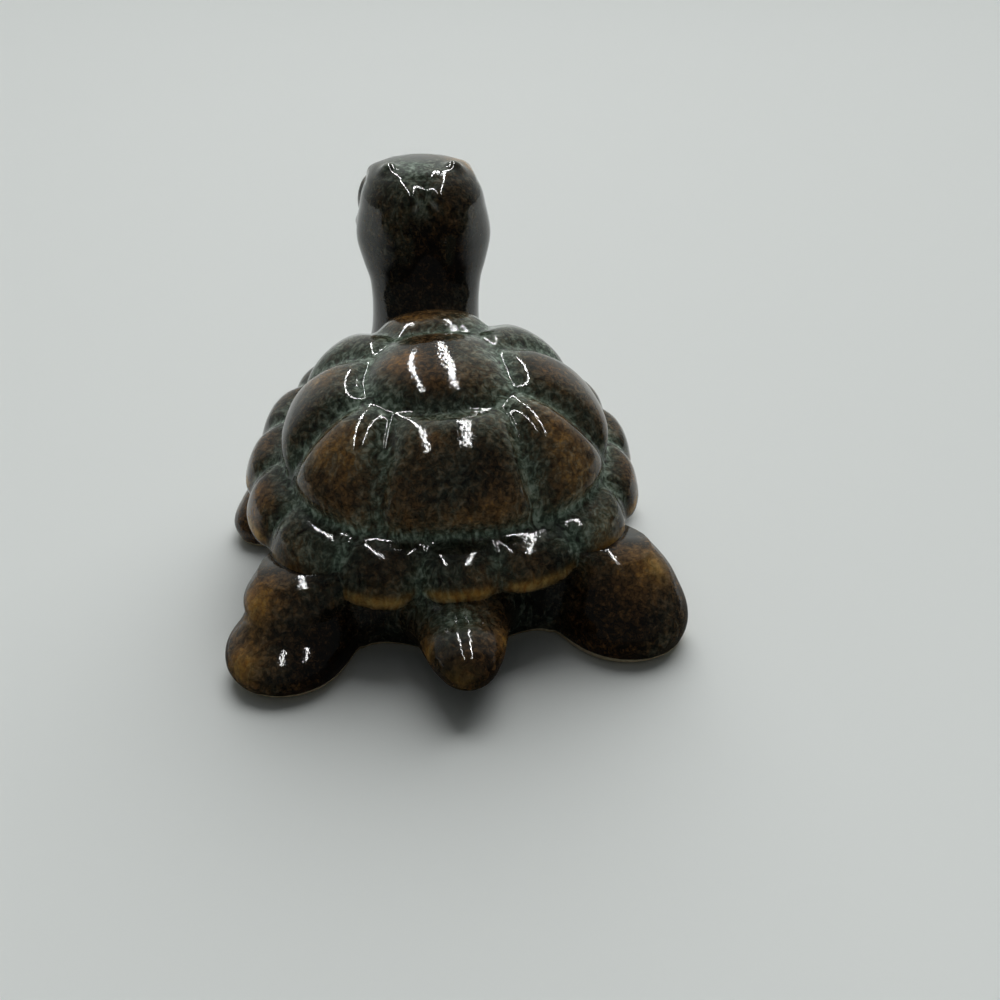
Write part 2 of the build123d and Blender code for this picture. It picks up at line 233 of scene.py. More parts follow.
def ease(low, high, at):
    """Smooth step from 0 at low to 1 at high."""
    t = np.clip((at - low) / (high - low), 0.0, 1.0)
    return t * t * (3 - 2 * t)


def ripple(points, size, seed):
    """Gentle seeded waviness in -1 to 1: three crossed sine waves of a given size in millimetres."""
    rng = np.random.default_rng(seed)
    total = np.zeros(points.shape[:-1])
    for _ in range(3):
        direction = rng.normal(size=3)
        direction *= 2 * math.pi / size / np.linalg.norm(direction)
        total += np.sin(points @ direction + rng.uniform(0, 2 * math.pi))
    return total / 3


def soft_min(first, second, reach):
    """Smaller of two distances, rounded over where they differ by less than a reach."""
    overlap = np.clip(1 - np.abs(first - second) / reach, 0.0, 1.0)
    return np.minimum(first, second) - overlap * overlap * reach / 4


def oval_gap(across, along, half_across, half_along):
    """Distance outside an oval, measured along the ray from its middle."""
    distance = np.hypot(across, along) + 1e-6
    share = np.hypot(across / half_across, along / half_along) + 1e-9
    return distance - distance / share


def leg_gap(rows, side):
    """Distance field of a leg: level ovals whose place and size glide with height."""
    def gap(points):
        height = np.clip(points[..., 2], rows[0, 0], rows[-1, 0])
        across = points[..., 0] - side * glide(height, rows[:, 0], rows[:, 1])
        along = points[..., 1] - glide(height, rows[:, 0], rows[:, 2])
        turn = np.radians(side * rows[0, 5])
        straight = across * math.cos(turn) + along * math.sin(turn)
        sideways = along * math.cos(turn) - across * math.sin(turn)
        half_width = glide(height, rows[:, 0], rows[:, 3])
        flank = oval_gap(straight, sideways, half_width, glide(height, rows[:, 0], rows[:, 4]))
        return np.hypot(np.maximum(flank, 0), points[..., 2] - height) + np.minimum(flank, 0)
    return gap


def tail_gap(points):
    """Distance field of the tail: upright ovals whose place and size glide along its length."""
    back = np.clip(points[..., 1], TAIL[0, 0], TAIL[-1, 0])
    up = points[..., 2] - glide(back, TAIL[:, 0], TAIL[:, 1])
    half_width = glide(back, TAIL[:, 0], TAIL[:, 2])
    side = oval_gap(points[..., 0], up, half_width, glide(back, TAIL[:, 0], TAIL[:, 3]))
    return np.hypot(np.maximum(side, 0), points[..., 1] - back) + np.minimum(side, 0)


def head_gap(points):
    """Distance field of the neck and head: level egg shapes that glide with height."""
    height = np.clip(points[..., 2], HEAD[0, 0], HEAD[-1, 0])
    along = points[..., 1] - glide(height, HEAD[:, 0], HEAD[:, 1])
    front = glide(height, HEAD[:, 0], HEAD[:, 3])
    rear = glide(height, HEAD[:, 0], HEAD[:, 4])
    half_width = glide(height, HEAD[:, 0], HEAD[:, 2])
    side = oval_gap(points[..., 0], along, half_width, np.where(along < 0, front, rear))
    return np.hypot(np.maximum(side, 0), points[..., 2] - height) + np.minimum(side, 0)


def segment_gap(points, start, end, radius):
    """Distance outside a round-ended bar between two points, the same on the left and on the right."""
    mirrored = np.stack([np.abs(points[..., 0]), points[..., 1], points[..., 2]], axis=-1)
    start = np.array(start)
    span = np.array(end) - start
    share = np.clip(((mirrored - start) @ span) / (span @ span), 0.0, 1.0)
    return np.linalg.norm(mirrored - start - share[..., None] * span, axis=-1) - radius


def face_gap(points):
    """Distance field of the head with its face: brow ridges, eyes and the lobes behind are added, and the
    nape's groove, the eyelid rings, the mouth and the nostrils are pressed in."""
    mirrored = np.stack([np.abs(points[..., 0]), points[..., 1], points[..., 2]], axis=-1)
    gap = head_gap(points)
    for start, end in ((BROW[0], BROW[1]), (BROW[1], BROW[2])):
        gap = soft_min(gap, segment_gap(points, start, end, BROW_RADIUS), 2.4)
    eye = np.array(EYE)
    gap = soft_min(gap, segment_gap(points, eye, eye + 0.1, EYE_RADIUS), 2.5)
    behind = ease(-52.0, -44.0, points[..., 1])
    lobe = ((mirrored[..., 0] - 9.0) / 5.5) ** 2 + ((points[..., 2] - 76.0) / 7.5) ** 2
    gap = gap - 1.5 * behind * np.exp(-lobe)
    nape = ease(60.0, 68.0, points[..., 2]) * (1 - ease(79.0, 84.0, points[..., 2]))
    gap = gap + 1.8 * behind * nape * np.exp(-((points[..., 0] / 3.2) ** 2))
    look = np.array(EYE_LOOK)
    away = mirrored - eye
    from_axis = np.linalg.norm(away - (away @ look)[..., None] * look, axis=-1)
    lid = 0.7 * np.exp(-(((from_axis - 3.8) / 0.7) ** 2)) - 0.5 * np.exp(-((from_axis - 5.2) ** 2))
    gap = gap + ease(0.0, 3.0, away @ look) * lid
    back = points[..., 1] - SNOUT_Y
    mouth = points[..., 2] - MOUTH_HEIGHT - MOUTH_CLIMB * back
    lips = 0.95 * np.exp(-((mouth / 0.75) ** 2)) - 0.5 * np.exp(-(((mouth - 2.2) / 1.6) ** 2))
    gap = gap + (1 - ease(20.0, 25.0, back)) * lips
    nostril = segment_gap(points, *NOSTRIL, 0.0)
    return gap + 1.1 * np.exp(-((nostril / 1.2) ** 2))


def body_gap(points):
    """Distance field of the body wall: an upright squared oval that ends inside the leaning shell."""
    shell = bpy.context.scene.turtle_shell
    across = np.abs(points[..., 0]) / BODY_HALF_WIDTH
    along = np.abs(points[..., 1]) / BODY_HALF_LENGTH
    share = (across**BODY_POWER + along**BODY_POWER) ** (1 / BODY_POWER) + 1e-9
    distance = np.hypot(points[..., 0], points[..., 1]) + 1e-6
    level = points[..., 2] - shell.height / MM
    above = level * math.cos(shell.tilt) + points[..., 1] * math.sin(shell.tilt) + 3.0
    return np.maximum(distance - distance / share, above)


FIELDS = {"underbody": body_gap, "head_and_neck": face_gap, "tail": tail_gap}
for leg_name, (leg_rows, leg_side) in LEGS.items():
    FIELDS[leg_name] = leg_gap(leg_rows, leg_side)


def other_gap(name, points):
    """Distance to the nearest of the other joined pieces."""
    if name == "underbody":
        return np.min([field(points) for key, field in FIELDS.items() if key != name], axis=0)
    return FIELDS["underbody"](points)


def joined_gap(name, points):
    """Distance field of a piece with its slip joints rounded into its neighbours."""
    if name != "underbody":
        return soft_min(FIELDS[name](points), FIELDS["underbody"](points), REACH[name])
    gap = FIELDS[name](points)
    for neighbour, reach in REACH.items():
        gap = soft_min(gap, FIELDS[neighbour](points), reach)
    return gap


def outward(field, points):
    """Unit normal of a distance field, by central differences."""
    step = 0.05
    parts = []
    for axis in range(3):
        shift = np.zeros(3)
        shift[axis] = step
        parts.append(field(points + shift) - field(points - shift))
    slope = np.stack(parts, axis=-1)
    return slope / np.maximum(np.linalg.norm(slope, axis=-1, keepdims=True), 1e-9)


def press_on_joint(name, points):
    """Moves points along their normals onto the rounded joint, found by halving, and sinks those that lie
    past its seam."""
    way = outward(head_gap if name == "head_and_neck" else FIELDS[name], points)
    deepest, highest = -3.0, 9.0
    low = np.full(points.shape[:-1], deepest)
    high = np.full(points.shape[:-1], highest)
    for _ in range(14):
        middle = (low + high) / 2
        inside = joined_gap(name, points + way * middle[..., None]) < 0
        low = np.where(inside, middle, low)
        high = np.where(inside, high, middle)
    low = np.where(high == highest, 0.0, low)
    pressed = points + way * low[..., None]
    own = other_gap(name, pressed) - FIELDS[name](pressed)
    sink = np.clip(0.2 * np.minimum(own, 0.0) ** 2, 0.0, 2.5)
    return pressed - outward(lambda at: joined_gap(name, at), pressed) * sink[..., None], own


def hex_colour(text):
    """Linear colour from an sRGB hex value."""
    values = [int(text[place:place + 2], 16) / 255 for place in (1, 3, 5)]
    return [v / 12.92 if v <= 0.04045 else ((v + 0.055) / 1.055) ** 2.4 for v in values] + [1.0]


def grid_faces(rows, columns):
    """Quads of a grid whose columns run round and close."""
    row, column = np.meshgrid(np.arange(rows - 1), np.arange(columns), indexing="ij")
    after = (column + 1) % columns
    first = row * columns
    corners = [first + column, first + after, first + columns + after, first + columns + column]
    return np.stack(corners, -1)


def patches(points, rows):
    """Sum of round soft patches, each a bell curve of the distance from its middle."""
    total = np.zeros(points.shape[:-1])
    for x, y, z, radius, strength in rows:
        away = ((points - (x, y, z)) ** 2).sum(axis=-1)
        total += strength * np.exp(-away / radius**2)
    return total


def glaze_shares(points, crease, lip=0.0, shoulder=0.0, haze=0.1):
    """Green, gold and amber shares of the glaze at points: creases and patches, made uneven by slow waves.
    Below 0 the amber share is painted shade."""
    uneven = ripple(points, 15.0, 21)
    haze = haze * np.clip(0.4 + 1.2 * ripple(points, 27.0, 17), 0.0, 1.0)
    green = np.clip(crease * (0.85 + 0.3 * uneven) + haze + patches(points, GREEN_PATCHES), 0.0, 1.0)
    gold = np.clip(lip + patches(points, GOLD_PATCHES) * (0.9 + 0.4 * uneven), 0.0, 1.0)
    broken = shoulder * np.clip(0.5 + 0.9 * ripple(points, 19.0, 5), 0.0, 1.0)
    # The amber share below 0 holds the painted shade patches
    amber = np.clip(patches(points, AMBER_AND_SHADE_PATCHES) + broken + 0.1 * ripple(points, 22.0, 8), -1.0, 1.0)
    return {"green": green * (1 - gold), "gold": gold, "amber": amber}


def add_piece(node, points, faces, shares):
    """Mesh object that stands for a node, from points in millimetres, with the glaze's shares as
    attributes."""
    mesh = bpy.data.meshes.new(f"{node}_glazed")
    mesh.from_pydata((points + (0.0, SHELL_Y, 0.0)) * MM, [], faces)
    for key, values in shares.items():
        spare = np.zeros(len(points) - values.size)
        layer = mesh.attributes.new(key, "FLOAT", "POINT")
        layer.data.foreach_set("value", np.concatenate([values.reshape(-1), spare]).astype(np.float32))
    mesh.polygons.foreach_set("use_smooth", np.ones(len(mesh.polygons), dtype=bool))
    mesh.update()
    mesh.materials.append(glaze_material())
    piece = bpy.data.objects.new(f"{node}_glazed", mesh)
    bpy.context.scene.collection.objects.link(piece)
    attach(piece, "root")
    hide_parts(node)


def closed_stack(points):
    """Points and faces of a stack of rings, closed by a pole at each end."""
    rows, columns = points.shape[:2]
    flat = points.reshape(-1, 3)
    poles = np.stack([points[0].mean(axis=0), points[-1].mean(axis=0)])
    quads = grid_faces(rows, columns).reshape(-1, 4).tolist()
    ring = np.arange(columns)
    after = (ring + 1) % columns
    low = np.stack([np.full(columns, len(flat)), after, ring], -1).tolist()
    top = (rows - 1) * columns
    high = np.stack([np.full(columns, len(flat) + 1), top + ring, top + after], -1).tolist()
    return np.concatenate([flat, poles]), quads + low + high


def add_node(tree, kind, settings=None, links=None, stops=(), **options):
    """Adds a node, sets its options, sockets and colour stops, and links its inputs."""
    node = tree.nodes.new(kind)
    for key, value in options.items():
        setattr(node, key, value)
    for key, value in (settings or {}).items():
        node.inputs[key].default_value = value
    for key, output in (links or {}).items():
        tree.links.new(output, node.inputs[key])
    for place, (at, colour) in enumerate(stops):
        if place == len(node.color_ramp.elements):
            node.color_ramp.elements.new(at)
        node.color_ramp.elements[place].position = at
        node.color_ramp.elements[place].color = hex_colour(colour)
    return node


def glaze_material():
    """Reactive glaze on stoneware, poured and fired: a glossy speckled brown, amber where it ran thin, gold
    where it broke on an edge and green where it gathered, and darkened by painted shade where the amber
    share is below 0."""
    found = bpy.data.materials.get("reactive glaze")
    if found:
        return found
    look = bpy.context.scene.turtle_glaze
    material = bpy.data.materials.new("reactive glaze")
    material.use_nodes = True
    tree = material.node_tree
    tree.nodes.clear()
    place = add_node(tree, "ShaderNodeTexCoord").outputs["Object"]
    share = {
        key: add_node(tree, "ShaderNodeAttribute", attribute_name=key).outputs["Fac"]
        for key in ("green", "gold", "amber")
    }

    # Specks under a millimetre, threads a few millimetres long that run down, and a slow drift
    running = add_node(
        tree, "ShaderNodeVectorMath", {1: (1.0, 1.0, 0.45)}, {0: place}, operation="MULTIPLY",
    ).outputs["Vector"]
    noises = []
    for vector, low, settings in (
        (place, 0.34, {"Scale": 0.5 / look.speck_size, "Detail": 4.0, "Roughness": 0.65, "Distortion": 0.5}),
        (running, 0.34, {"Scale": 1 / THREAD_SIZE, "Detail": 5.0, "Roughness": 0.62, "Distortion": 1.6}),
        (place, 0.35, {"Scale": 1 / DRIFT_SIZE, "Detail": 2.0}),
    ):
        noise = add_node(tree, "ShaderNodeTexNoise", settings, {"Vector": vector}).outputs["Fac"]
        spread = {"From Min": low, "From Max": 1 - low}
        noises.append(add_node(tree, "ShaderNodeMapRange", spread, {"Value": noise}).outputs["Result"])
    speck, thread, drift = noises

    # Dark veins round small cells, bent by the specks
    bent = add_node(
        tree, "ShaderNodeVectorMath", {1: (CELL_SIZE,) * 3}, {0: speck, 2: place}, operation="MULTIPLY_ADD",
    ).outputs["Vector"]
    vein = add_node(
        tree, "ShaderNodeTexVoronoi", {"Scale": 1 / CELL_SIZE}, {"Vector": bent}, feature="DISTANCE_TO_EDGE",
    ).outputs["Distance"]
    vein = add_node(
        tree, "ShaderNodeMapRange",
        {"From Min": 0.02, "From Max": 0.16, "To Min": -0.13, "To Max": 0.03}, {"Value": vein},
    ).outputs["Result"]

    # Brown: specks, drift and veins together, lifted to amber by its share, and pushed towards dark by it
    # below 0, where it is painted shade
    tone = add_node(
        tree, "ShaderNodeMath", {1: 0.2, 2: -0.03}, {0: drift}, operation="MULTIPLY_ADD",
    ).outputs["Value"]
    tone = add_node(
        tree, "ShaderNodeMath", {1: 0.5}, {0: speck, 2: tone}, operation="MULTIPLY_ADD",
    ).outputs["Value"]
    tone = add_node(tree, "ShaderNodeMath", None, {0: tone, 1: vein}, operation="ADD").outputs["Value"]
    tone = add_node(
        tree, "ShaderNodeMath", {1: 0.55}, {0: share["amber"], 2: tone}, operation="MULTIPLY_ADD",
    ).outputs["Value"]
    brown = add_node(
        tree, "ShaderNodeValToRGB", None, {"Fac": tone},
        ((0.0, look.dark), (0.33, look.brown), (0.66, look.russet), (1.0, look.amber)),
    ).outputs["Color"]

    # Green in threads where the glaze gathered
    strand = add_node(
        tree, "ShaderNodeMix", {0: 0.4}, {2: thread, 3: speck}, data_type="FLOAT",
    ).outputs[0]
    green = add_node(
        tree, "ShaderNodeValToRGB", None, {"Fac": strand},
        ((0.1, look.green_dark), (0.5, look.green), (0.95, look.green_pale)),
    ).outputs["Color"]
    cover = add_node(
        tree, "ShaderNodeMath", {1: 0.8, 2: 0.5}, {0: strand}, operation="MULTIPLY_ADD",
    ).outputs["Value"]
    cover = add_node(
        tree, "ShaderNodeMath", None, {0: cover, 1: share["green"]}, operation="MULTIPLY", use_clamp=True,
    ).outputs["Value"]
    colour = add_node(
        tree, "ShaderNodeMix", None, {0: cover, 6: brown, 7: green}, data_type="RGBA",
    ).outputs[2]

    # Gold on the edges
    gold = add_node(
        tree, "ShaderNodeValToRGB", None, {"Fac": thread}, ((0.0, look.amber), (1.0, look.gold)),
    ).outputs["Color"]
    cover = add_node(
        tree, "ShaderNodeMath", {1: 0.7, 2: 0.5}, {0: speck}, operation="MULTIPLY_ADD",
    ).outputs["Value"]
    cover = add_node(
        tree, "ShaderNodeMath", None, {0: cover, 1: share["gold"]}, operation="MULTIPLY", use_clamp=True,
    ).outputs["Value"]
    colour = add_node(
        tree, "ShaderNodeMix", None, {0: cover, 6: colour, 7: gold}, data_type="RGBA",
    ).outputs[2]

    # Bare clay in a ragged band above the table
    height = add_node(tree, "ShaderNodeSeparateXYZ", None, {"Vector": place}).outputs["Z"]
    ragged = add_node(
        tree, "ShaderNodeMapRange", {"To Min": BARE_LOW, "To Max": BARE_HIGH}, {"Value": drift},
    ).outputs["Result"]
    bare = add_node(
        tree, "ShaderNodeMath", None, {0: height, 1: ragged}, operation="LESS_THAN",
    ).outputs["Value"]
    clay = add_node(
        tree, "ShaderNodeValToRGB", None, {"Fac": speck}, ((0.0, look.clay_dark), (1.0, look.clay)),
    ).outputs["Color"]
    colour = add_node(
        tree, "ShaderNodeMix", None, {0: bare, 6: colour, 7: clay}, data_type="RGBA",
    ).outputs[2]
    dull = add_node(
        tree, "ShaderNodeMapRange", {"To Min": 0.06, "To Max": 0.8}, {"Value": bare},
    ).outputs["Result"]

    # Slow sag and fine peel of a poured glaze, hundredths of a millimetre deep
    links = {}
    for size, detail, depth in ((SAG_SIZE, 1.0, SAG_DEPTH), (PEEL_SIZE, 2.0, PEEL_DEPTH)):
        wave = add_node(
            tree, "ShaderNodeTexNoise", {"Scale": 1 / size, "Detail": detail}, {"Vector": place},
        ).outputs["Fac"]
        bump = add_node(
            tree, "ShaderNodeBump", {"Strength": 1.0, "Distance": depth}, {"Height": wave, **links},
        ).outputs["Normal"]
        links = {"Normal": bump}
    shader = add_node(
        tree, "ShaderNodeBsdfPrincipled", {"IOR": 1.52},
        {"Base Color": colour, "Roughness": dull, **links},
    ).outputs["BSDF"]
    add_node(tree, "ShaderNodeOutputMaterial", None, {"Surface": shader})
    return material


def bisque_material():
    """Unglazed stoneware: matt buff clay with a fine sandy grain."""
    look = bpy.context.scene.turtle_glaze
    material = bpy.data.materials.new("bare stoneware")
    material.use_nodes = True
    tree = material.node_tree
    tree.nodes.clear()
    place = add_node(tree, "ShaderNodeTexCoord").outputs["Object"]
    grain = add_node(
        tree, "ShaderNodeTexNoise", {"Scale": 1 / GRAIN_SIZE, "Detail": 4.0}, {"Vector": place},
    ).outputs["Fac"]
    colour = add_node(
        tree, "ShaderNodeValToRGB", None, {"Fac": grain}, ((0.2, look.clay_dark), (0.7, look.clay)),
    ).outputs["Color"]
    bump = add_node(
        tree, "ShaderNodeBump", {"Strength": 0.3, "Distance": GRAIN_DEPTH}, {"Height": grain},
    ).outputs["Normal"]
    shader = add_node(
        tree, "ShaderNodeBsdfPrincipled", {"Roughness": 0.85}, {"Base Color": colour, "Normal": bump},
    ).outputs["BSDF"]
    add_node(tree, "ShaderNodeOutputMaterial", None, {"Surface": shader})
    return material


class ShellSettings(bpy.types.PropertyGroup):
    """Sizes of the shell."""

    height: bpy.props.FloatProperty(
        name="Height", description="Table to the shell's centre", default=0.0296, unit="LENGTH",
    )
    tilt: bpy.props.FloatProperty(
        name="Tilt", description="Front of the shell raised", default=math.radians(13.0), subtype="ANGLE",
    )
    dome_rise: bpy.props.FloatProperty(
        name="Dome rise", description="Seams above the centre", default=0.0254, unit="LENGTH",
    )
    plate_rise: bpy.props.FloatProperty(
        name="Plate rise", description="Crown of a plate above the seams", default=0.0048, unit="LENGTH",
    )
    rim_rise: bpy.props.FloatProperty(
        name="Rim plate rise", description="Crown of a rim plate", default=0.0032, unit="LENGTH",
    )
    rim_plates: bpy.props.IntProperty(name="Rim plates", description="Steps round the rim", default=16)


class GlazeSettings(bpy.types.PropertyGroup):
    """Colours of the glaze and the clay as sRGB hex values, and the size of a speck."""

    dark: bpy.props.StringProperty(
        name="Dark", description="Specks and thick glaze", default="#0B0806",
    )
    brown: bpy.props.StringProperty(
        name="Brown", description="Usual brown", default="#372716",
    )
    russet: bpy.props.StringProperty(
        name="Russet", description="Thinner brown", default="#6E4F2E",
    )
    amber: bpy.props.StringProperty(
        name="Amber", description="Thinnest brown", default="#B27D34",
    )
    gold: bpy.props.StringProperty(
        name="Gold", description="Glaze broken on an edge", default="#D9B56A",
    )
    green_dark: bpy.props.StringProperty(
        name="Deep green", description="Veins in a pool", default="#1A1F1A",
    )
    green: bpy.props.StringProperty(
        name="Green", description="Glaze gathered in a valley", default="#5C6F5F",
    )
    green_pale: bpy.props.StringProperty(
        name="Pale green", description="Threads in a pool", default="#B3C3B2",
    )
    clay_dark: bpy.props.StringProperty(
        name="Dark clay", description="Specks in the clay", default="#A8977A",
    )
    clay: bpy.props.StringProperty(
        name="Clay", description="Bare clay", default="#D9CAAA",
    )
    speck_size: bpy.props.FloatProperty(
        name="Speck", description="Size of a speck", default=0.0008, unit="LENGTH",
    )


class StageSettings(bpy.types.PropertyGroup):
    """Floor, light and camera, with colours as sRGB hex values."""

    floor: bpy.props.StringProperty(
        name="Floor", description="Floor colour", default="#E5E9E7",
    )
    shade: bpy.props.StringProperty(
        name="Shade", description="Mirrored floor on the camera's side", default="#101010",
    )
    near_sky: bpy.props.StringProperty(
        name="Near room", description="Room on the camera's side", default="#404140",
    )
    far_sky: bpy.props.StringProperty(
        name="Far room", description="Room beyond the turtle", default="#C2C7C4",
    )
    strip_power: bpy.props.FloatProperty(
        name="Strip power", description="Each overhead strip", default=5.8, unit="POWER",
    )
    room_power: bpy.props.FloatProperty(
        name="Room light", description="Soft light, watts a square metre", default=2.9,
    )
    room_spread: bpy.props.FloatProperty(
        name="Room spread", description="Angle that the soft light fills", default=math.radians(64.0),
        subtype="ANGLE",
    )
    lens: bpy.props.FloatProperty(
        name="Lens", description="Focal length on a 36 mm sensor", default=36.0, unit="CAMERA",
    )


def shell_to_table(points):
    """Turns points from the shell's leaning frame to the table's."""
    shell = bpy.context.scene.turtle_shell
    cosine, sine = math.cos(shell.tilt), math.sin(shell.tilt)
    back = points[..., 1] * cosine + points[..., 2] * sine
    up = points[..., 2] * cosine - points[..., 1] * sine + shell.height / MM
    return np.stack([points[..., 0], back, up], axis=-1)


def plan_radius(angle, stations):
    """Distance from the shell's centre: five cosines through the rear, rear corner, side, front corner
    and front."""
    turns = np.radians([0.0, 45.0, 90.0, 135.0, 180.0])
    orders = np.arange(5)
    weights = np.linalg.solve(np.cos(np.outer(turns, orders)), stations)
    return np.cos(np.multiply.outer(angle, orders)) @ weights


def seam_distance(x, y):
    """Distance in plan to the seams between plates, blended so that a plate's corners are round."""
    point = np.stack([np.abs(x), y], axis=-1)
    near = np.zeros(x.shape)
    for seam in SEAMS:
        line = np.full(x.shape, 1e3)
        for start, end in zip(np.array(seam), np.array(seam)[1:]):
            span = end - start
            share = np.clip(((point - start) @ span) / (span @ span), 0.0, 1.0)
            line = np.minimum(line, np.linalg.norm(point - start - share[..., None] * span, axis=-1))
        near += (line + NEAR_ZERO) ** -SEAM_BLEND
    return near ** (-1 / SEAM_BLEND)


def pillow(distance, width):
    """Rise from 0 in a seam, where it is level, to 1 on a plate: one less a bell curve of the distance."""
    return 1 - np.exp(-((distance / width) ** 2))


def carapace_surface():
    """Shell: a profile from the crown over the dome, valley, rim and lip to the underside, carried round
    the shell's axis, raised along its own normal by the plates' pillows and smoothed at the valley."""
    shell = bpy.context.scene.turtle_shell
    columns = 512
    angle = np.linspace(0, 2 * math.pi, columns, endpoint=False)
    radius = plan_radius(angle, RIM_STATIONS)
    dome_rise = shell.dome_rise / MM
    fullness = 2 / 2.25
    valley_turn = math.acos((VALLEY_HEIGHT / dome_rise) ** (1 / fullness))
    valley_share = math.sin(valley_turn) ** fullness
    dome_radius = plan_radius(angle, VALLEY_STATIONS) / valley_share
    turn = np.linspace(0.012, 1.0, 118) * valley_turn
    dome_out = (np.sin(turn) ** fullness)[:, None] * dome_radius
    dome_up = (np.cos(turn) ** fullness)[:, None] * dome_rise * np.ones(columns)
    # Rim from the valley to under the lip: share along it, share of its width, height
    rim = np.array([
        (0.0, 0.0, VALLEY_HEIGHT), (0.22, 0.27, 5.0), (0.45, 0.55, 3.4), (0.66, 0.79, 0.9),
        (0.8, 0.93, -1.7), (0.9, 1.0, -3.9), (0.95, 0.985, -4.8), (1.0, 0.93, LIP_HEIGHT),
    ])
    along = np.linspace(0.02, 1.0, 46)
    width = radius - dome_radius * valley_share
    rim_out = dome_radius * valley_share + glide(along, rim[:, 0], rim[:, 1])[:, None] * width
    rim_up = glide(along, rim[:, 0], rim[:, 2])[:, None] * np.ones(columns)
    under = np.linspace(0.0, 1.0, 22)[1:]
    under_out = rim_out[-1] * (1 - 0.99 * under[:, None])
    under_up = LIP_HEIGHT + 1.2 * ease(0.0, 0.12, under)[:, None] * np.ones(columns)
    out = np.concatenate([dome_out, rim_out, under_out])
    up = np.concatenate([dome_up, rim_up, under_up])

    # Plates of the dome, between wavy seams and the valley
    flat = np.stack([out * np.sin(angle), out * np.cos(angle), up], axis=-1)
    seam = seam_distance(
        flat[..., 0] - 2.0 * np.exp(-((flat[..., 1] / 13.0) ** 2)) + 0.9 * ripple(flat, 34.0, 3),
        flat[..., 1] + 0.9 * ripple(flat, 31.0, 4),
    )
    rows = np.arange(len(out))[:, None]
    on_dome = rows < len(turn)
    to_valley = np.maximum(valley_share * dome_radius - out, 0.0)
    to_valley = to_valley + 0.9 * np.maximum(up - VALLEY_HEIGHT, 0.0) + NEAR_ZERO
    dome_edge = (seam**-FOOT_BLEND + to_valley**-FOOT_BLEND) ** (-1 / FOOT_BLEND)
    plates = shell.plate_rise / MM * (0.65 * pillow(dome_edge, 3.4) + 0.35 * pillow(dome_edge, 8.0))
    plates = plates * (0.7 + 0.3 * ease(-5.0, 22.0, flat[..., 1]))

    # Plates of the rim, at even steps round it
    step = 2 * math.pi / shell.rim_plates
    to_side = np.abs(((angle + 0.012 * np.sin(5 * angle)) / step) % 1.0 - 0.5) * step * out
    place = np.clip((rows - len(turn) + 1) / len(along), 0.0, 1.0)
    from_valley = 8.0 * place + NEAR_ZERO
    rim_edge = ((to_side + NEAR_ZERO) ** -SEAM_BLEND + from_valley**-SEAM_BLEND) ** (-1 / SEAM_BLEND)
    lobes = shell.rim_rise / MM * (0.6 * pillow(rim_edge, 3.2) + 0.4 * pillow(rim_edge, 7.0))
    lobes = lobes * (1 - 0.35 * ease(0.5, 0.88, place)) * (1 - ease(0.93, 1.0, place))
    past_rim = rows >= len(turn) + len(along)
    lift = np.where(on_dome, plates, np.where(past_rim, 0.0, lobes))
    edge = np.where(on_dome, dome_edge, np.where(past_rim, 9.0, rim_edge))

    # Lift along the profile's normal, and a smooth valley
    run_out = np.gradient(out, axis=0)
    run_up = np.gradient(up, axis=0)
    size = np.hypot(run_out, run_up)
    out = out - lift * run_up / size
    up = up + lift * run_out / size
    near_valley = np.exp(-(((rows - len(turn)) / 9.0) ** 2))
    for line in (out, up):
        for _ in range(30):
            line[1:-1] += near_valley[1:-1] * ((line[:-2] + line[2:]) / 2 - line[1:-1])
    # The rear edge is raised on its right and dropped on its left, with a notch between
    turned = (angle + math.pi) % (2 * math.pi) - math.pi
    raised = 2.0 * ease(-1.2, -0.6, turned) * (1 - ease(0.12, 0.27, turned))
    dropped = 0.5 * ease(0.12, 0.27, turned) * (1 - ease(0.7, 1.2, turned))
    up = up + ease(0.2, 1.0, place) * (raised - dropped)
    notch = np.exp(-(((turned - 0.2) / 0.055) ** 2)) * ease(0.2, 0.7, place) * (1 - past_rim)
    out = out - 2.0 * notch
    across = out * np.sin(angle) + DOME_SHIFT * (1 - ease(0.0, 1.0, place))
    points = shell_to_table(np.stack([across, out * np.cos(angle), up], axis=-1))
    return points, edge, np.broadcast_to(place, edge.shape)


class TURTLE_OT_carapace(bpy.types.Operator):
    """Builds the plated shell"""

    bl_idname = "turtle.carapace"
    bl_label = "Carapace"

    def execute(self, context):
        points, edge, place = carapace_surface()
        uneven = ripple(points, 16.0, 11)
        pool = 2.7 - 0.8 * ease(0.0, 0.1, place) + uneven
        crease = 0.95 * np.exp(-((edge / pool) ** 1.6))
        shoulder = 0.4 * np.exp(-(((edge - 5.0) / 2.2) ** 2))
        lip = np.exp(-(((place - 0.86) / 0.05) ** 2))
        lip = lip * np.clip(0.8 + 0.5 * uneven, 0.3, 1.0) * pillow(edge, 2.6)
        crease = crease * (1 - 0.7 * ease(0.6, 0.8, place))
        shares = glaze_shares(points, crease, lip, shoulder, haze=0.16)
        points = points[:, ::-1]
        shares = {key: values[:, ::-1] for key, values in shares.items()}
        add_piece("carapace", *closed_stack(points), shares)
        return {"FINISHED"}


def ring_points(rows, heights, columns, side):
    """Level ovals of a leg at given heights."""
    angle = np.linspace(0, 2 * math.pi, columns, endpoint=False)
    turn = np.radians(side * rows[0, 5])
    across = glide(heights, rows[:, 0], rows[:, 3])[:, None] * np.cos(angle)
    along = glide(heights, rows[:, 0], rows[:, 4])[:, None] * np.sin(angle)
    x, y = (glide(heights, rows[:, 0], rows[:, place])[:, None] for place in (1, 2))
    x = side * x + across * math.cos(turn) - along * math.sin(turn)
    y = y + across * math.sin(turn) + along * math.cos(turn)
    return np.stack([x, y, heights[:, None] * np.ones(columns)], axis=-1)


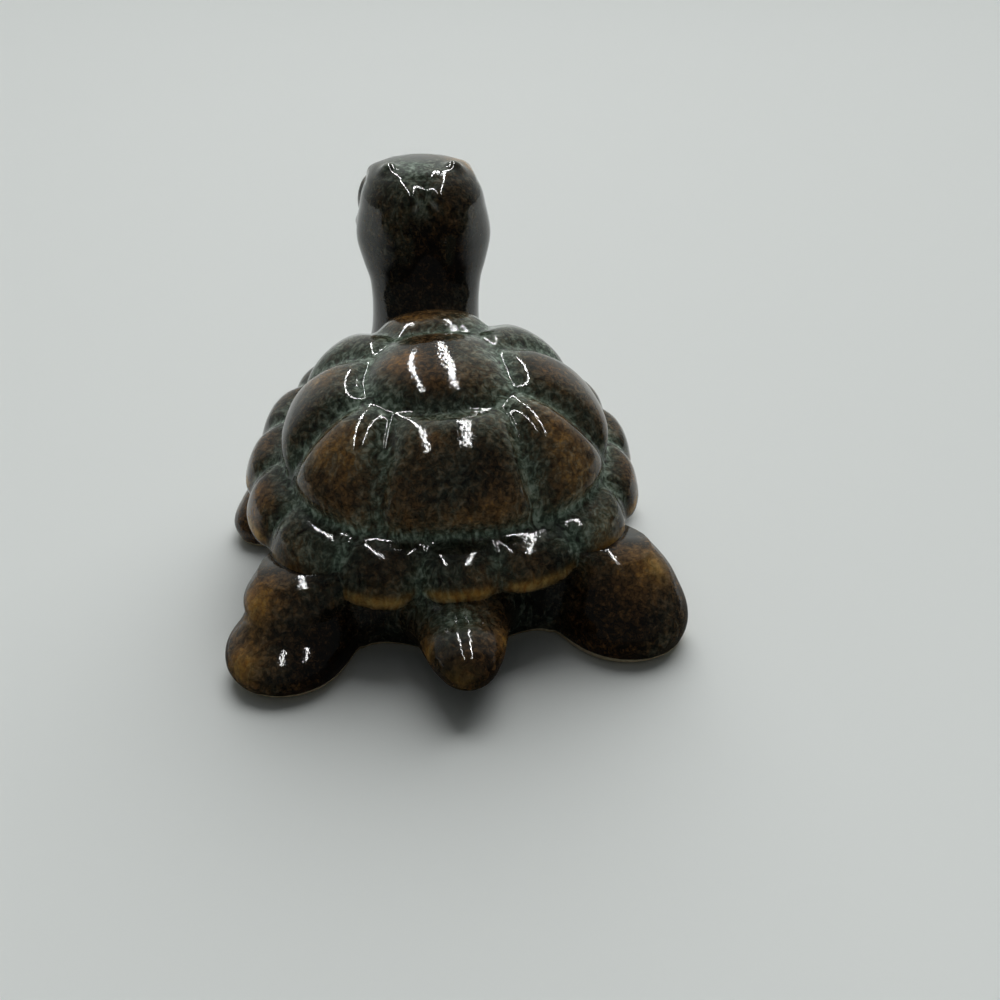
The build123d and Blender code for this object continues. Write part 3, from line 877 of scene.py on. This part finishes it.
def round_sole(points):
    """Draws the lowest rings in towards their middles, as a quarter round at the table."""
    height = np.clip(points[..., 2:], 0.0, SOLE_RADIUS)
    inset = SOLE_RADIUS - np.sqrt(SOLE_RADIUS**2 - (SOLE_RADIUS - height) ** 2)
    middle = points.mean(axis=1, keepdims=True) * (1, 1, 0)
    spoke = (points - middle) * (1, 1, 0)
    return points - spoke * inset / np.linalg.norm(spoke, axis=-1, keepdims=True)


def crease_of(own):
    """Share of glaze that gathers in a joint, from how near the two pieces are."""
    return 0.12 * np.exp(-((np.abs(own) / 5.0) ** 1.5))


class TURTLE_OT_legs(bpy.types.Operator):
    """Builds the four legs"""

    bl_idname = "turtle.legs"
    bl_label = "Legs"

    def execute(self, context):
        for node, (rows, side) in LEGS.items():
            low, top = 1.2, rows[-1, 0]
            heights = np.concatenate([np.linspace(0, low, 8)[:-1], np.linspace(low, top, 110)])
            points, own = press_on_joint(node, ring_points(rows, heights, 200, side))
            points[..., 2] = np.maximum(points[..., 2], 0.0)
            points = round_sole(points)
            add_piece(node, *closed_stack(points), glaze_shares(points, crease_of(own)))
        return {"FINISHED"}


class TURTLE_OT_tail(bpy.types.Operator):
    """Builds the tail"""

    bl_idname = "turtle.tail"
    bl_label = "Tail"

    def execute(self, context):
        back = TAIL[0, 0] + (TAIL[-1, 0] - TAIL[0, 0]) * np.sin(np.linspace(0.0, math.pi / 2, 120))
        angle = np.linspace(0, 2 * math.pi, 160, endpoint=False)
        half_width, half_height = (glide(back, TAIL[:, 0], TAIL[:, place])[:, None] for place in (2, 3))
        x = half_width * np.cos(angle)
        z = glide(back, TAIL[:, 0], TAIL[:, 1])[:, None] - half_height * np.sin(angle)
        points = np.stack([x, back[:, None] * np.ones(len(angle)), z], axis=-1)
        points, own = press_on_joint("tail", points)
        points[..., 2] = np.maximum(points[..., 2], 0.0)
        add_piece("tail", *closed_stack(points), glaze_shares(points, crease_of(own)))
        return {"FINISHED"}


class TURTLE_OT_head(bpy.types.Operator):
    """Builds the neck and head"""

    bl_idname = "turtle.head"
    bl_label = "Head and neck"

    def execute(self, context):
        share = np.linspace(0, 1, 300)
        heights = HEAD[0, 0] + (HEAD[-1, 0] - HEAD[0, 0]) * (1 - (1 - share) ** 1.5)
        angle = np.linspace(0, 2 * math.pi, 300, endpoint=False)
        half, front, rear = (glide(heights, HEAD[:, 0], HEAD[:, place])[:, None] for place in (2, 3, 4))
        reach = np.where(np.sin(angle) < 0, front, rear)
        y = glide(heights, HEAD[:, 0], HEAD[:, 1])[:, None] + reach * np.sin(angle)
        points = np.stack([half * np.cos(angle), y, heights[:, None] * np.ones(len(angle))], axis=-1)
        points, own = press_on_joint("head_and_neck", points)
        # The head leans a millimetre to the right, and the root stops at the slab
        points[..., 0] -= ease(35.0, 65.0, points[..., 2])
        points[..., 2] = np.maximum(points[..., 2], SLAB_TOP)
        add_piece("head_and_neck", *closed_stack(points), glaze_shares(points, crease_of(own)))
        return {"FINISHED"}


class TURTLE_OT_underbody(bpy.types.Operator):
    """Builds the body wall"""

    bl_idname = "turtle.underbody"
    bl_label = "Underbody"

    def execute(self, context):
        columns = 400
        angle = np.linspace(0, 2 * math.pi, columns, endpoint=False)
        power = 2 / BODY_POWER
        x = BODY_HALF_WIDTH * np.sign(np.cos(angle)) * np.abs(np.cos(angle)) ** power
        y = BODY_HALF_LENGTH * np.sign(np.sin(angle)) * np.abs(np.sin(angle)) ** power
        shell = context.scene.turtle_shell
        top = shell.height / MM - y * math.tan(shell.tilt) - 4.0
        rise = np.linspace(0.0, 1.0, 120)[:, None] ** 1.3
        outer = np.stack([x + 0 * rise, y + 0 * rise, rise * top], axis=-1)
        outer, own = press_on_joint("underbody", outer)
        outer[..., 2] = np.clip(outer[..., 2], 0.0, top)
        outer = round_sole(outer)
        inner = []
        for inset, level in ((WALL, top), (WALL, SLAB_TOP), (REBATE, SLAB_TOP), (REBATE, 0.0)):
            inset_x = x * (1 - inset / BODY_HALF_WIDTH)
            inset_y = y * (1 - inset / BODY_HALF_LENGTH)
            inner.append(np.stack([inset_x, inset_y, level + 0 * x], axis=-1))
        points = np.concatenate([outer, np.array(inner), outer[:1]])
        faces = grid_faces(len(points), columns).reshape(-1, 4)
        first_again = (len(points) - 1) * columns
        faces = np.where(faces >= first_again, faces - first_again, faces)
        flat = points[:-1].reshape(-1, 3)
        add_piece("underbody", flat, faces.tolist(), glaze_shares(outer, crease_of(own)))
        return {"FINISHED"}


class TURTLE_OT_base_slab(bpy.types.Operator):
    """Gives the base slab its bare clay"""

    bl_idname = "turtle.base_slab"
    bl_label = "Base slab"

    def execute(self, context):
        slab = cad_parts["base_slab"]
        slab.data.materials.clear()
        slab.data.materials.append(bisque_material())
        return {"FINISHED"}


class TURTLE_OT_stage(bpy.types.Operator):
    """Sets the floor, the lights and the camera"""

    bl_idname = "turtle.stage"
    bl_label = "Stage"

    def execute(self, context):
        stage = context.scene.turtle_stage
        collection = context.scene.collection
        material = bpy.data.materials.new("pale floor")
        material.use_nodes = True
        tree = material.node_tree
        shader = tree.nodes["Principled BSDF"]
        shader.inputs["Roughness"].default_value = 0.7
        # The glaze mirrors the floor darker towards the camera, as a stand-in for the photographer's shadow
        place = add_node(tree, "ShaderNodeTexCoord").outputs["Object"]
        back = add_node(tree, "ShaderNodeSeparateXYZ", None, {"Vector": place}).outputs["Y"]
        shaded = add_node(
            tree, "ShaderNodeMapRange", {"From Min": SHADE_FROM, "From Max": SHADE_TO}, {"Value": back},
            interpolation_type="SMOOTHSTEP",
        ).outputs["Result"]
        mirrored = add_node(tree, "ShaderNodeLightPath").outputs["Is Glossy Ray"]
        darkened = add_node(
            tree, "ShaderNodeMath", None, {0: shaded, 1: mirrored}, operation="MULTIPLY",
        ).outputs["Value"]
        colour = add_node(
            tree, "ShaderNodeMix", {6: hex_colour(stage.floor), 7: hex_colour(stage.shade)}, {0: darkened},
            data_type="RGBA",
        ).outputs[2]
        tree.links.new(colour, shader.inputs["Base Color"])
        mesh = bpy.data.meshes.new("floor")
        corners = [(-1, -1, 0), (1, -1, 0), (1, 1, 0), (-1, 1, 0)]
        mesh.from_pydata(np.array(corners) * FLOOR_HALF, [], [(0, 1, 2, 3)])
        mesh.materials.append(material)
        floor = bpy.data.objects.new("floor", mesh)
        collection.objects.link(floor)

        # A room that is bright beyond the turtle and dark overhead and on the camera's side
        world = bpy.data.worlds.new("studio")
        world.use_nodes = True
        tree = world.node_tree
        way = add_node(tree, "ShaderNodeTexCoord").outputs["Generated"]
        beyond = add_node(
            tree, "ShaderNodeVectorMath", {1: (0.0, -1.0, 0.0)}, {0: way}, operation="DOT_PRODUCT",
        ).outputs["Value"]
        sky = add_node(
            tree, "ShaderNodeValToRGB", None, {"Fac": beyond},
            ((0.15, stage.near_sky), (0.95, stage.far_sky)),
        ).outputs["Color"]
        tree.links.new(sky, tree.nodes["Background"].inputs["Color"])
        context.scene.world = world

        # Ceiling strips that show only as highlights
        for across in (-STRIP_OUT, STRIP_OUT):
            lamp = bpy.data.lights.new("strip", "AREA")
            lamp.shape = "RECTANGLE"
            lamp.size = STRIP_WIDTH
            lamp.size_y = STRIP_LENGTH
            lamp.energy = stage.strip_power
            strip = bpy.data.objects.new("strip", lamp)
            strip.location = (across, STRIP_Y, STRIP_HEIGHT)
            strip.visible_diffuse = False
            collection.objects.link(strip)
        # The room's soft light, from beyond the turtle and its right, which the glaze doesn't mirror
        lamp = bpy.data.lights.new("room", "SUN")
        lamp.energy = stage.room_power
        lamp.angle = stage.room_spread
        room = bpy.data.objects.new("room", lamp)
        room.rotation_euler = Vector(ROOM_LIGHT_FROM).to_track_quat("Z", "Y").to_euler()
        room.visible_glossy = False
        collection.objects.link(room)

        camera = bpy.data.objects.new("camera", bpy.data.cameras.new("camera"))
        camera.data.sensor_width = SENSOR_WIDTH
        camera.data.lens = stage.lens
        camera.data.clip_start = 0.01
        middle = Vector((0.0, SHELL_Y, 0.0))
        camera.location = (Vector(CAMERA_PLACE) + middle) * MM
        target = (Vector(CAMERA_TARGET) + middle) * MM
        camera.rotation_euler = (target - camera.location).to_track_quat("-Z", "Y").to_euler()
        collection.objects.link(camera)
        context.scene.camera = camera
        context.scene.view_settings.view_transform = "Standard"
        return {"FINISHED"}


class TURTLE_PT_panel(bpy.types.Panel):
    """Lists the figurine's operators"""

    bl_idname = "TURTLE_PT_panel"
    bl_label = "Turtle figurine"
    bl_space_type = "VIEW_3D"
    bl_region_type = "UI"
    bl_category = "Turtle"

    def draw(self, context):
        for operator in OPERATORS:
            self.layout.operator(operator.bl_idname)


SETTINGS = {"turtle_shell": ShellSettings, "turtle_glaze": GlazeSettings, "turtle_stage": StageSettings}
OPERATORS = [
    TURTLE_OT_carapace,
    TURTLE_OT_underbody,
    TURTLE_OT_head,
    TURTLE_OT_legs,
    TURTLE_OT_tail,
    TURTLE_OT_base_slab,
    TURTLE_OT_stage,
]


def register():
    """Registers the settings, the operators and the panel."""
    for name, group in SETTINGS.items():
        bpy.utils.register_class(group)
        setattr(bpy.types.Scene, name, bpy.props.PointerProperty(type=group))
    for operator in OPERATORS:
        bpy.utils.register_class(operator)
    bpy.utils.register_class(TURTLE_PT_panel)


def unregister():
    """Takes everything out again."""
    bpy.utils.unregister_class(TURTLE_PT_panel)
    for operator in reversed(OPERATORS):
        bpy.utils.unregister_class(operator)
    for name, group in SETTINGS.items():
        delattr(bpy.types.Scene, name)
        bpy.utils.unregister_class(group)


def main():
    """Builds every piece in order."""
    register()
    bpy.ops.turtle.carapace()
    bpy.ops.turtle.underbody()
    bpy.ops.turtle.head()
    bpy.ops.turtle.legs()
    bpy.ops.turtle.tail()
    bpy.ops.turtle.base_slab()
    bpy.ops.turtle.stage()


if __name__ == "__main__":
    main()
